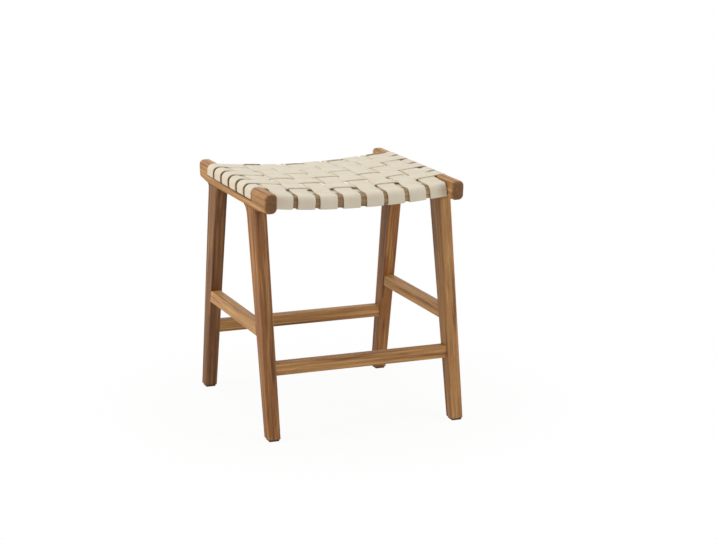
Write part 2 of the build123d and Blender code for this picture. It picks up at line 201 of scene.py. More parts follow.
@dataclass(frozen=True)
class OiledTeak:
    """Teak, planed, sanded and oiled.

    Oil leaves the pores open and the face satin: the eye sees long streaks of gold and
    red-brown, thin dark growth lines, short dark pores and a much darker end grain.

    Attributes:
        title: Name of the board.
        grain: Direction of the fibres.
        pale: Colour of the lightest streaks.
        warm: Main colour.
        dark: Colour of the growth lines and dark streaks.
        end: Colour of the end grain.
        seed: Shift in metres that gives each board its own figure.
        pith: Distance of the pith of the log from the board, across both ways, in metres.
        bed: Lowest y, highest y and lowest z of the strip under straps, where the shade between the
            straps is painted in.
        shaded_side: Direction of the faces that are painted darker as shade.
        bed_shade: Colour of the painted shade on the strip under straps.
        bed_share: How far that strip takes its colour.
        bed_fade: Half the width of the strip's borders.
        side_shade: Colour of the painted shade on those faces.
        side_shade_share: How far those faces take the painted shade.
        ring_mm: Width of a year's growth.
        ring_sway: How far the rings wander.
        ring_share: Strength of the growth lines.
        arch_mm: Length and width of the slow waves that bend the rings.
        streak_mm: Length and width of the broad streaks.
        fibre_mm: Length and width of the fibres, drawn a little coarser than real.
        pore_mm: Length and width of the open pores.
        pore_share: Strength of the pores' colour.
        end_share: Strength of the end grain's colour.
        leg_lean: Angle by which a leg leans, in radians.
        roughness: Lowest and highest roughness.
        bump_mm: Depth of the pores and fibres.
    """

    title: str
    grain: Grain
    pale: str
    warm: str
    dark: str
    end: str
    seed: float
    pith: tuple[float, float]
    bed: tuple[float, float, float] | None = None
    shaded_side: tuple[float, float, float] | None = None
    bed_shade: str = "#46311F"
    bed_share: float = 0.7
    bed_fade: float = 1.0
    side_shade: str = "#5C351C"
    side_shade_share: float = 0.26
    ring_mm: float = 3.2
    ring_sway: float = 20.0
    ring_share: float = 0.34
    arch_mm: tuple[float, float] = (260.0, 34.0)
    streak_mm: tuple[float, float] = (260.0, 8.0)
    fibre_mm: tuple[float, float] = (60.0, 0.7)
    pore_mm: tuple[float, float] = (7.0, 0.45)
    pore_share: float = 0.45
    end_share: float = 0.8
    leg_lean: float = 0.1875
    roughness: tuple[float, float] = (0.45, 0.62)
    bump_mm: float = 0.12

    def turn(self) -> tuple[float, float, float]:
        """Rotation that brings the fibres onto the pattern's X axis.

        Returns:
            Angles about X, Y and Z, in radians.
        """
        return {
            Grain.ACROSS: (0.0, 0.0, 0.0),
            Grain.DEEP: (0.0, 0.0, -math.pi / 2),
            Grain.FRONT_LEG: (self.leg_lean, math.pi / 2, 0.0),
            Grain.BACK_LEG: (-self.leg_lean, math.pi / 2, 0.0),
        }[self.grain]

    def axis(self) -> tuple[float, float, float]:
        """Direction of the fibres in the stool's frame.

        Returns:
            Unit vector.
        """
        return {
            Grain.ACROSS: (1.0, 0.0, 0.0),
            Grain.DEEP: (0.0, 1.0, 0.0),
            Grain.FRONT_LEG: (0.0, math.sin(self.leg_lean), math.cos(self.leg_lean)),
            Grain.BACK_LEG: (0.0, -math.sin(self.leg_lean), math.cos(self.leg_lean)),
        }[self.grain]

    def stretched(
        self, tree: bpy.types.NodeTree, fibres: bpy.types.NodeSocket, size: tuple[float, float]
    ) -> bpy.types.NodeSocket:
        """Coordinates in which one unit is a given length along and across the fibres.

        Args:
            tree: The board's node tree.
            fibres: Coordinates in metres, with the fibres along X.
            size: Length along the fibres and width across them, in millimetres.

        Returns:
            The stretched coordinates.
        """
        along, across = (1 / (length * MM) for length in size)
        return add_node(
            tree,
            "ShaderNodeVectorMath",
            {1: (along, across, across)},
            {0: fibres},
            operation="MULTIPLY",
        ).outputs[0]

    def growth_lines(
        self, tree: bpy.types.NodeTree, fibres: bpy.types.NodeSocket
    ) -> bpy.types.NodeSocket:
        """Thin dark lines round the pith of the log, one for each year.

        Slow waves bend the rings, so a sawn face shows long tapering arches. A line rises
        slowly and falls fast over the fraction of (distance from the heart / ring width).

        Args:
            tree: The board's node tree.
            fibres: Coordinates with the pith of the log on the X axis.

        Returns:
            Strength of the lines.
        """
        place = add_node(
            tree,
            "ShaderNodeTexNoise",
            {"Scale": 1.0, "Detail": 2.0, "Roughness": 0.45},
            {"Vector": self.stretched(tree, fibres, self.arch_mm)},
        ).outputs["Color"]
        sway = self.ring_sway * MM
        for operation, values, links in (
            ("SUBTRACT", {1: (0.5, 0.5, 0.5)}, {}),
            ("MULTIPLY", {1: (0.0, sway, sway)}, {}),
            ("ADD", {}, {1: fibres}),
            ("MULTIPLY", {1: (0.0, 1.0, 1.0)}, {}),
        ):
            place = add_node(
                tree, "ShaderNodeVectorMath", values, {0: place, **links}, operation=operation
            ).outputs[0]
        radius = add_node(
            tree, "ShaderNodeVectorMath", links={0: place}, operation="LENGTH"
        ).outputs["Value"]
        turns = add_node(
            tree, "ShaderNodeMath", {1: 1 / (self.ring_mm * MM)}, {0: radius}, operation="MULTIPLY"
        ).outputs[0]
        ring = add_node(tree, "ShaderNodeMath", links={0: turns}, operation="FRACT").outputs[0]
        line = add_node(tree, "ShaderNodeValToRGB", links={"Fac": ring})
        set_stops(
            line,
            [(0.0, level(0.75)), (0.10, level(0.15)), (0.55, level(0.0)), (0.93, level(1.0))],
        )
        return add_node(
            tree,
            "ShaderNodeMath",
            {1: self.ring_share},
            {0: line.outputs["Color"]},
            operation="MULTIPLY",
        ).outputs[0]

    def facing(
        self,
        tree: bpy.types.NodeTree,
        way: tuple[float, float, float],
        start: float,
        most: float,
        both_ways: bool,
    ) -> bpy.types.NodeSocket:
        """How squarely the surface faces a direction, as a share.

        The share grows evenly from 0 to most while the normal's part in that direction
        goes from start to 0.9.

        Args:
            tree: The board's node tree.
            way: Unit vector of the direction.
            start: Part at which the share begins.
            most: Largest share.
            both_ways: Whether a surface that faces away counts as much.

        Returns:
            The share.
        """
        normal = add_node(tree, "ShaderNodeNewGeometry").outputs["Normal"]
        part = add_node(
            tree, "ShaderNodeVectorMath", {1: way}, {0: normal}, operation="DOT_PRODUCT"
        ).outputs["Value"]
        if both_ways:
            part = add_node(
                tree, "ShaderNodeMath", links={0: part}, operation="ABSOLUTE"
            ).outputs[0]
        return add_node(
            tree, "ShaderNodeMapRange", {1: start, 2: 0.9, 3: 0.0, 4: most}, {0: part}
        ).outputs[0]

    def under_straps(
        self, tree: bpy.types.NodeTree, place: bpy.types.NodeSocket
    ) -> bpy.types.NodeSocket:
        """Share of the painted shade on the wood that lies between and under the straps.

        The share is the product of three ramps at the strip's borders.

        Args:
            tree: The board's node tree.
            place: Object coordinates.

        Returns:
            The share.
        """
        front, back, low = self.bed
        fade = self.bed_fade
        spot = add_node(tree, "ShaderNodeSeparateXYZ", links={0: place})
        borders = (
            ("Y", front, 0.0, self.bed_share),
            ("Y", back, 1.0, 0.0),
            ("Z", low, 0.0, 1.0),
        )
        ramps = [
            add_node(
                tree,
                "ShaderNodeMapRange",
                {1: (edge - fade) * MM, 2: (edge + fade) * MM, 3: below, 4: above},
                {0: spot.outputs[way]},
            ).outputs[0]
            for way, edge, below, above in borders
        ]
        share = ramps[0]
        for ramp in ramps[1:]:
            share = add_node(
                tree, "ShaderNodeMath", links={0: share, 1: ramp}, operation="MULTIPLY"
            ).outputs[0]
        return share

    def build(self) -> bpy.types.Material:
        """Build the node material.

        Returns:
            The board's material.
        """
        material, tree, shader = fresh_material(f"oiled_teak_{self.title}")
        place = add_node(tree, "ShaderNodeTexCoord").outputs["Object"]
        fibres = add_node(
            tree,
            "ShaderNodeMapping",
            {"Rotation": self.turn(), "Location": (self.seed, self.pith[0], self.pith[1])},
            {"Vector": place},
        ).outputs["Vector"]

        # Broad streaks of heartwood colour, a board's most visible figure.
        streak = add_node(
            tree,
            "ShaderNodeTexNoise",
            {"Scale": 1.0, "Detail": 4.0, "Roughness": 0.6, "Distortion": 0.3},
            {"Vector": self.stretched(tree, fibres, self.streak_mm)},
        ).outputs["Fac"]
        tone = add_node(tree, "ShaderNodeValToRGB", links={"Fac": streak})
        places = (0.37, 0.46, 0.53, 0.62)
        codes = (self.dark, self.warm, self.warm, self.pale)
        set_stops(tone, [(stop, linear(code)) for stop, code in zip(places, codes)])
        colour = add_node(
            tree,
            "ShaderNodeMix",
            {7: linear(self.dark)},
            {0: self.growth_lines(tree, fibres), 6: tone.outputs["Color"]},
            data_type="RGBA",
        ).outputs[2]

        # Fine fibres, lighter and darker than the streak that they lie in.
        fibre = add_node(
            tree,
            "ShaderNodeTexNoise",
            {"Scale": 1.0, "Detail": 3.0, "Roughness": 0.65},
            {"Vector": self.stretched(tree, fibres, self.fibre_mm)},
        ).outputs["Fac"]
        fibre_tone = add_node(
            tree, "ShaderNodeMapRange", {1: 0.3, 2: 0.7, 3: 0.86, 4: 1.1}, {0: fibre}
        ).outputs[0]
        colour = add_node(
            tree, "ShaderNodeVectorMath", links={0: colour, 1: fibre_tone}, operation="MULTIPLY"
        ).outputs[0]

        # Open pores: short dark dashes along the fibres.
        pore = add_node(
            tree,
            "ShaderNodeTexNoise",
            {"Scale": 1.0, "Detail": 1.0},
            {"Vector": self.stretched(tree, fibres, self.pore_mm)},
        ).outputs["Fac"]
        pore_mask = add_node(
            tree, "ShaderNodeMapRange", {1: 0.62, 2: 0.72, 3: 0.0, 4: 1.0}, {0: pore}
        ).outputs[0]
        pore_colour = add_node(
            tree, "ShaderNodeMath", {1: self.pore_share}, {0: pore_mask}, operation="MULTIPLY"
        ).outputs[0]

        # End grain drinks more oil, so it is darkest where the fibres meet the surface.
        layers = [
            (self.end, pore_colour),
            (self.end, self.facing(tree, self.axis(), 0.3, self.end_share, True)),
        ]
        # Painted shade: one face of each leg is darkened as if it lay in shade.
        if self.shaded_side:
            layers.append(
                (self.side_shade, self.facing(tree, self.shaded_side, 0.5, self.side_shade_share, False))
            )
        # Painted shade: the side rails' wood between and under the straps is darkened.
        if self.bed:
            layers.append((self.bed_shade, self.under_straps(tree, place)))
        for code, share in layers:
            colour = add_node(
                tree,
                "ShaderNodeMix",
                {7: linear(code)},
                {0: share, 6: colour},
                data_type="RGBA",
            ).outputs[2]
        tree.links.new(colour, shader.inputs["Base Color"])

        smoothest, roughest = self.roughness
        rough = add_node(
            tree, "ShaderNodeMapRange", {1: 0.3, 2: 0.7, 3: smoothest, 4: roughest}, {0: fibre}
        )
        tree.links.new(rough.outputs[0], shader.inputs["Roughness"])
        shader.inputs["IOR"].default_value = 1.47
        shader.inputs["Specular IOR Level"].default_value = 0.42

        height = add_node(
            tree, "ShaderNodeMath", {1: -1.0}, {0: pore_mask, 2: fibre}, operation="MULTIPLY_ADD"
        ).outputs[0]
        bump = add_node(
            tree,
            "ShaderNodeBump",
            {"Strength": 0.35, "Distance": self.bump_mm * MM},
            {"Height": height},
        )
        tree.links.new(bump.outputs["Normal"], shader.inputs["Normal"])
        return material


@dataclass(frozen=True)
class PaintedStrapLeather:
    """Cowhide strap with a thin off-white pigment coat.

    The coat fills most of the hide's pores: the face is pale, even and softly shiny, with
    a fine pebble, faint creases where it bends, and a buff, fibrous back and cut edge.
    The strap's UV map runs in metres, along the strap and round its section.

    Attributes:
        face: Main colour of the coat.
        worn: Colour of the coat where it is rubbed.
        rim: Colour near the pressed edges, where hands and dirt collect.
        cut: Colour of the cut edge.
        back: Lighter colour of the fibrous back.
        buff: Darker colour of the fibrous back.
        half_mm: Half the strap's width.
        mottle_mm: Size of the rubbed patches.
        nap_mm: Size of the back's fibres, drawn coarser than real so that they show.
        pebble_mm: Size of the coat's pebble.
        crease_mm: Width and length of the creases.
        bump_mm: Depth of pebble and creases.
    """

    face: str = "#E1DACA"
    worn: str = "#D6CDB9"
    # rim: Colour of the painted shade near the pressed edges.
    rim: str = "#DCD3BE"
    cut: str = "#DAD1BE"
    back: str = "#D0C0A0"
    buff: str = "#BCA682"
    half_mm: float = 22.0
    mottle_mm: float = 30.0
    nap_mm: float = 1.4
    pebble_mm: float = 1.1
    crease_mm: tuple[float, float] = (2.6, 26.0)
    bump_mm: float = 0.15

    def build(self) -> bpy.types.Material:
        """Build the node material.

        Returns:
            The strap's material.
        """
        material, tree, shader = fresh_material("painted_leather_strap")
        place = add_node(tree, "ShaderNodeTexCoord").outputs["Object"]
        metres = add_node(tree, "ShaderNodeUVMap", uv_map="strap_metres").outputs["UV"]
        around = add_node(tree, "ShaderNodeSeparateXYZ", links={0: metres}).outputs["Y"]
        side = add_node(tree, "ShaderNodeMath", links={0: around}, operation="ABSOLUTE").outputs[0]

        mottle = add_node(
            tree,
            "ShaderNodeTexNoise",
            {"Scale": 1 / (self.mottle_mm * MM), "Detail": 4.0, "Roughness": 0.55},
            {"Vector": place},
        ).outputs["Fac"]
        rubbed = add_node(
            tree, "ShaderNodeMapRange", {1: 0.35, 2: 0.75, 3: 0.0, 4: 0.55}, {0: mottle}
        ).outputs[0]
        colour = add_node(
            tree,
            "ShaderNodeMix",
            {6: linear(self.face), 7: linear(self.worn)},
            {0: rubbed},
            data_type="RGBA",
        ).outputs[2]
        nap = add_node(
            tree,
            "ShaderNodeTexNoise",
            {"Scale": 1 / (self.nap_mm * MM), "Detail": 4.0, "Roughness": 0.7},
            {"Vector": place},
        ).outputs["Fac"]
        fibrous = add_node(tree, "ShaderNodeValToRGB", links={"Fac": nap})
        set_stops(fibrous, [(0.3, linear(self.buff)), (0.7, linear(self.back))])

        # Round the section the face gives way to the painted shade near its edges, the cut edge and
        # the back.
        # Each begins and ends at a distance past half the width, counted from the face's middle.
        zones = (
            (-3.2, -0.8, 0.6, {7: linear(self.rim)}, {}),
            (-0.3, 0.3, 1.0, {7: linear(self.cut)}, {}),
            (1.9, 2.6, 1.0, {}, {7: fibrous.outputs["Color"]}),
        )
        for start, end, most, values, links in zones:
            share = add_node(
                tree,
                "ShaderNodeMapRange",
                {1: (self.half_mm + start) * MM, 2: (self.half_mm + end) * MM, 3: 0.0, 4: most},
                {0: side},
            ).outputs[0]
            colour = add_node(
                tree, "ShaderNodeMix", values, {0: share, 6: colour, **links}, data_type="RGBA"
            ).outputs[2]
        tree.links.new(colour, shader.inputs["Base Color"])

        coat_rough = add_node(
            tree, "ShaderNodeMapRange", {1: 0.3, 2: 0.7, 3: 0.46, 4: 0.6}, {0: mottle}
        ).outputs[0]
        back_rough = 0.9
        rough = add_node(
            tree,
            "ShaderNodeMix",
            {3: back_rough},
            {0: share, 2: coat_rough},
            data_type="FLOAT",
        ).outputs[0]
        tree.links.new(rough, shader.inputs["Roughness"])
        shader.inputs["IOR"].default_value = 1.5
        shader.inputs["Specular IOR Level"].default_value = 0.4

        pebble = add_node(
            tree,
            "ShaderNodeTexVoronoi",
            {"Scale": 1 / (self.pebble_mm * MM), "Smoothness": 0.6},
            {"Vector": place},
            feature="SMOOTH_F1",
        ).outputs["Distance"]
        wide, long = self.crease_mm
        crease_place = add_node(
            tree,
            "ShaderNodeMapping",
            {"Scale": (1 / (wide * MM), 1 / (long * MM), 1.0)},
            {"Vector": metres},
        ).outputs["Vector"]
        crease = add_node(
            tree,
            "ShaderNodeTexNoise",
            {"Scale": 1.0, "Detail": 3.0, "Roughness": 0.5, "Distortion": 0.4},
            {"Vector": crease_place},
        ).outputs["Fac"]
        bent = add_node(tree, "ShaderNodeAttribute", attribute_name="strap_bend").outputs["Fac"]
        crease = add_node(
            tree, "ShaderNodeMath", links={0: crease, 1: bent}, operation="MULTIPLY"
        ).outputs[0]
        height = add_node(
            tree, "ShaderNodeMath", {1: 0.5}, {0: pebble, 2: crease}, operation="MULTIPLY_ADD"
        ).outputs[0]
        bump = add_node(
            tree,
            "ShaderNodeBump",
            {"Strength": 0.4, "Distance": self.bump_mm * MM},
            {"Height": height},
        )
        tree.links.new(bump.outputs["Normal"], shader.inputs["Normal"])
        return material


@dataclass(frozen=True)
class MouldedRubber:
    """Dark moulded rubber of the floor pads: matt, with a dusty bloom and fine speckle."""

    body: str = "#44362B"
    bloom: str = "#66564A"
    speckle_mm: float = 3.0
    bump_mm: float = 0.1

    def build(self) -> bpy.types.Material:
        """Build the node material.

        Returns:
            The pads' material.
        """
        material, tree, shader = fresh_material("moulded_rubber_pad")
        place = add_node(tree, "ShaderNodeTexCoord").outputs["Object"]
        dust = add_node(
            tree,
            "ShaderNodeTexNoise",
            {"Scale": 1 / (self.speckle_mm * MM), "Detail": 5.0},
            {"Vector": place},
        ).outputs["Fac"]
        tone = add_node(tree, "ShaderNodeValToRGB", links={"Fac": dust})
        set_stops(tone, [(0.4, linear(self.body)), (0.75, linear(self.bloom))])
        tree.links.new(tone.outputs["Color"], shader.inputs["Base Color"])
        rough = add_node(tree, "ShaderNodeMapRange", {1: 0.3, 2: 0.7, 3: 0.7, 4: 0.9}, {0: dust})
        tree.links.new(rough.outputs[0], shader.inputs["Roughness"])
        bump = add_node(
            tree,
            "ShaderNodeBump",
            {"Strength": 0.3, "Distance": self.bump_mm * MM},
            {"Height": dust},
        )
        tree.links.new(bump.outputs["Normal"], shader.inputs["Normal"])
        return material


@dataclass(frozen=True)
class AgedSteel:
    """Steel of the tack heads, browned by a thin oxide, with tiny wear marks."""

    bright: str = "#9A8C78"
    brown: str = "#5B4A38"
    mark_mm: float = 2.0

    def build(self) -> bpy.types.Material:
        """Build the node material.

        Returns:
            The tack heads' material.
        """
        material, tree, shader = fresh_material("aged_steel_tack")
        place = add_node(tree, "ShaderNodeTexCoord").outputs["Object"]
        rust = add_node(
            tree,
            "ShaderNodeTexNoise",
            {"Scale": 1 / (self.mark_mm * MM), "Detail": 4.0},
            {"Vector": place},
        ).outputs["Fac"]
        tone = add_node(tree, "ShaderNodeValToRGB", links={"Fac": rust})
        set_stops(tone, [(0.35, linear(self.brown)), (0.65, linear(self.bright))])
        tree.links.new(tone.outputs["Color"], shader.inputs["Base Color"])
        rough = add_node(tree, "ShaderNodeMapRange", {1: 0.3, 2: 0.7, 3: 0.3, 4: 0.5}, {0: rust})
        tree.links.new(rough.outputs[0], shader.inputs["Roughness"])
        shader.inputs["Metallic"].default_value = 1.0
        return material


@dataclass(frozen=True)
class SoftLamp:
    """One square soft lamp.

    Attributes:
        name: Name of the lamp.
        place: Position in metres.
        aim: Point that it faces, in metres.
        size: Side of the square in metres.
        watts: Power.
        tint: Colour code of its light.
    """

    name: str
    place: tuple[float, float, float]
    aim: tuple[float, float, float]
    size: float
    watts: float
    tint: str

    def build(self) -> None:
        """Put the lamp in its place and turn it to its aim."""
        data = bpy.data.lights.new(self.name, "AREA")
        data.shape = "SQUARE"
        data.size = self.size
        data.energy = self.watts
        data.color = linear(self.tint)[:3]
        lamp = bpy.data.objects.new(self.name, data)
        lamp.location = self.place
        way = np.array(self.aim) - np.array(self.place)
        rise = math.atan2(way[2], math.hypot(way[0], way[1]))
        lamp.rotation_euler = (math.pi / 2 + rise, 0.0, math.atan2(-way[0], way[1]))
        bpy.context.scene.collection.objects.link(lamp)


@dataclass
class Studio:
    """White sweep, soft lamps and the camera of the photograph.

    Attributes:
        camera_mm: Place of the camera.
        yaw: Turn of the view to the right, in radians.
        pitch: Tilt of the view downwards, in radians.
        lens: Focal length.
        sensor: Width of the film.
        shift: Shift of the picture, as shares of its width.
        floor_m: Side of the floor in metres.
        floor_code: Colour of the floor.
        white_from: Distances from the middle, in metres, between which the floor turns white.
        white_share: How white the floor looks to the camera at those distances.
        room_code: Colour of the surroundings' light.
        room_strength: Strength of that light.
        lamps: The soft lamps.
    """

    camera_mm: tuple[float, float, float] = (-1763.9, -4684.3, 1512.0)
    yaw: float = 0.37545
    pitch: float = 0.22916
    lens: float = 102.215
    sensor: float = 36.0
    shift: tuple[float, float] = (-0.0007, 0.0007)
    floor_m: float = 9.0
    floor_code: str = "#F4F3F1"
    white_from: tuple[float, float] = (0.35, 0.75)
    white_share: tuple[float, float] = (0.94, 1.0)
    room_code: str = "#FFFDF9"
    room_strength: float = 0.3
    lamps: tuple[SoftLamp, ...] = (
        SoftLamp("left_softbox", (-3.1, -0.2, 1.9), (0.0, 0.0, 0.35), 1.6, 56.0, "#FFF6E8"),
        SoftLamp("right_softbox", (2.3, -2.5, 1.5), (0.0, 0.0, 0.4), 1.4, 34.0, "#FFF8EE"),
        SoftLamp("top_softbox", (0.2, 0.4, 3.0), (0.0, 0.0, 0.5), 2.2, 29.0, "#FFFDFA"),
    )

    def place_camera(self) -> None:
        """Put the camera where the photograph was taken from."""
        data = bpy.data.cameras.new("photo_camera")
        data.sensor_width = self.sensor
        data.lens = self.lens
        data.clip_end = 60.0
        data.shift_x, data.shift_y = self.shift
        camera = bpy.data.objects.new("photo_camera", data)
        camera.location = [c * MM for c in self.camera_mm]
        camera.rotation_euler = (math.pi / 2 - self.pitch, 0.0, -self.yaw)
        bpy.context.scene.collection.objects.link(camera)
        bpy.context.scene.camera = camera

    def build_world(self) -> None:
        """Even pale surroundings that look pure white to the camera and in reflections."""
        world = bpy.data.worlds.new("white_room")
        bpy.context.scene.world = world
        world.use_nodes = True
        tree = world.node_tree
        tree.nodes.clear()
        rays = add_node(tree, "ShaderNodeLightPath").outputs
        seen = rays["Is Camera Ray"]
        for kind in ("Is Glossy Ray", "Is Transmission Ray"):
            seen = add_node(
                tree, "ShaderNodeMath", links={0: seen, 1: rays[kind]}, operation="MAXIMUM"
            ).outputs[0]
        room = add_node(
            tree,
            "ShaderNodeBackground",
            {"Color": linear(self.room_code), "Strength": self.room_strength},
        )
        white = add_node(tree, "ShaderNodeBackground", {"Color": level(1.0), "Strength": 1.0})
        both = add_node(
            tree,
            "ShaderNodeMixShader",
            links={0: seen, 1: room.outputs[0], 2: white.outputs[0]},
        )
        add_node(tree, "ShaderNodeOutputWorld", links={"Surface": both.outputs[0]})

    def build_floor(self) -> None:
        """A wide pale floor that turns white to the camera except in the stool's shadow."""
        half = self.floor_m / 2
        mesh = bpy.data.meshes.new("studio_floor")
        corners = [(-half, -half, 0.0), (half, -half, 0.0), (half, half, 0.0), (-half, half, 0.0)]
        mesh.from_pydata(corners, [], [(0, 1, 2, 3)])
        floor = bpy.data.objects.new("studio_floor", mesh)
        bpy.context.scene.collection.objects.link(floor)
        material, tree, shader = fresh_material("matt_white_sweep")
        shader.inputs["Base Color"].default_value = linear(self.floor_code)
        shader.inputs["Roughness"].default_value = 0.9
        seen = add_node(tree, "ShaderNodeLightPath").outputs["Is Camera Ray"]
        glow = add_node(tree, "ShaderNodeEmission", {"Color": level(1.0), "Strength": 1.0})
        place = add_node(tree, "ShaderNodeTexCoord").outputs["Object"]
        away = add_node(
            tree, "ShaderNodeVectorMath", links={0: place}, operation="LENGTH"
        ).outputs["Value"]
        (near, far), (least, most) = self.white_from, self.white_share
        whiter = add_node(
            tree, "ShaderNodeMapRange", {1: near, 2: far, 3: least, 4: most}, {0: away}
        ).outputs[0]
        share = add_node(
            tree, "ShaderNodeMath", links={0: whiter, 1: seen}, operation="MULTIPLY"
        ).outputs[0]
        both = add_node(
            tree,
            "ShaderNodeMixShader",
            links={0: share, 1: shader.outputs[0], 2: glow.outputs[0]},
        )
        output = next(n for n in tree.nodes if n.type == "OUTPUT_MATERIAL")
        tree.links.new(both.outputs[0], output.inputs["Surface"])
        mesh.materials.append(material)

    def build(self) -> None:
        """Set up the view, the room, the floor and the lamps."""
        bpy.context.scene.view_settings.view_transform = "Standard"
        self.place_camera()
        self.build_world()
        self.build_floor()
        for lamp in self.lamps:
            lamp.build()


@dataclass
class SideFramesAndRails:
    """The wooden frame: side rails, legs, seat rails, stretchers, slot keys and floor pads.

    Attributes:
        boards: The finish of each wooden node.
        strap_bed: Lowest y, highest y and lowest z of the strip under straps on a side rail,
            painted darker as shade.
        shaded_leg_faces: Legs with one face painted darker as shade, and where those faces look.
        board_shift: Distance in metres between the figures of two boards.
    """

    boards: dict[str, OiledTeak] = field(default_factory=dict)
    strap_bed: tuple[float, float, float] = (-162.0, 185.0, 573.0)
    shaded_leg_faces: dict[str, tuple] = field(
        default_factory=lambda: {
            "leg_front_left": (0.0, -1.0, 0.0),
            "leg_back_left": (0.0, -1.0, 0.0),
            "leg_front_right": (-1.0, 0.0, 0.0),
            "leg_back_right": (-1.0, 0.0, 0.0),
        }
    )
    board_shift: float = 0.37

    def choose_boards(self) -> None:
        """Give each wooden node its own board, darker or lighter as in the photograph."""
        tones = {
            "honey": ("#DDB27A", "#C29460", "#8E6238", "#6B4A2E"),
            "gold": ("#CFA26A", "#B2834F", "#7F5530", "#644428"),
            "russet": ("#C08C54", "#9A6838", "#663C1B", "#56381F"),
            # This tone is darker and greyer: painted shade for the front seat rail seen in the
            # narrow gaps between straps.
            "gap_shade": ("#B79C79", "#967B5A", "#6A5136", "#4A3A28"),
            "umber": ("#A67A4C", "#805733", "#53351D", "#4A301C"),
        }
        plan = {
            "side_rail_left": ("gold", Grain.DEEP, (0.055, 0.031)),
            "side_rail_right": ("gold", Grain.DEEP, (-0.047, 0.040)),
            "leg_front_left": ("russet", Grain.FRONT_LEG, (0.062, 0.018)),
            "leg_front_right": ("gold", Grain.FRONT_LEG, (0.021, -0.058)),
            # Painted shade: the back left leg takes the darkest board for the shade inside the
            # stool.
            "leg_back_left": ("umber", Grain.BACK_LEG, (-0.049, 0.033)),
            "leg_back_right": ("russet", Grain.BACK_LEG, (0.038, 0.051)),
            # Painted shade: the front seat rail takes the darker, greyer board for the gaps between
            # the straps that wrap over it.
            "seat_rail_front": ("gap_shade", Grain.ACROSS, (0.060, 0.022)),
            "seat_rail_back": ("gold", Grain.ACROSS, (0.041, -0.049)),
            "stretcher_front": ("gold", Grain.ACROSS, (0.052, 0.035)),
            "stretcher_back": ("gold", Grain.ACROSS, (-0.058, 0.020)),
            "stretcher_left": ("honey", Grain.DEEP, (0.025, 0.057)),
            "stretcher_right": ("gold", Grain.DEEP, (0.046, -0.036)),
            "slot_key_left": ("russet", Grain.DEEP, (0.05, 0.03)),
            "slot_key_right": ("russet", Grain.DEEP, (0.05, -0.03)),
        }
        for number, (node, (tone, grain, pith)) in enumerate(plan.items(), 1):
            pale, warm, dark, end = tones[tone]
            self.boards[node] = OiledTeak(
                title=node,
                grain=grain,
                pale=pale,
                warm=warm,
                dark=dark,
                end=end,
                seed=self.board_shift * number,
                pith=pith,
                bed=self.strap_bed if node.startswith("side_rail") else None,
                shaded_side=self.shaded_leg_faces.get(node),
            )

    def build(self, nodes: dict[str, bpy.types.Object]) -> None:
        """Dress the solids that keep their shape.

        Args:
            nodes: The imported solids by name.
        """
        self.choose_boards()
        for name, board in self.boards.items():
            self.dress(nodes[name], board.build())
        rubber = MouldedRubber().build()
        for name in [n for n in nodes if n.startswith("pad_")]:
            self.dress(nodes[name], rubber)

    def dress(self, piece: bpy.types.Object, material: bpy.types.Material) -> None:
        """Give one solid its finish.

        Args:
            piece: The solid's object.
            material: Its finish.
        """
        if not piece.material_slots:
            piece.data.materials.append(material)
        for slot in piece.material_slots:
            slot.material = material
        log.info("dressed %s with %s", piece.name, material.name)


@dataclass(frozen=True)
class StrapPlane:
    """Plane in which a strap's middle line runs.

    Attributes:
        origin: Its origin in millimetres.
        along: Unit vector of its first axis.
        up_way: Unit vector of its second axis.
        across: Unit vector across the strap.
    """

    origin: tuple[float, float, float]
    along: tuple[float, float, float]
    up_way: tuple[float, float, float]
    across: tuple[float, float, float]


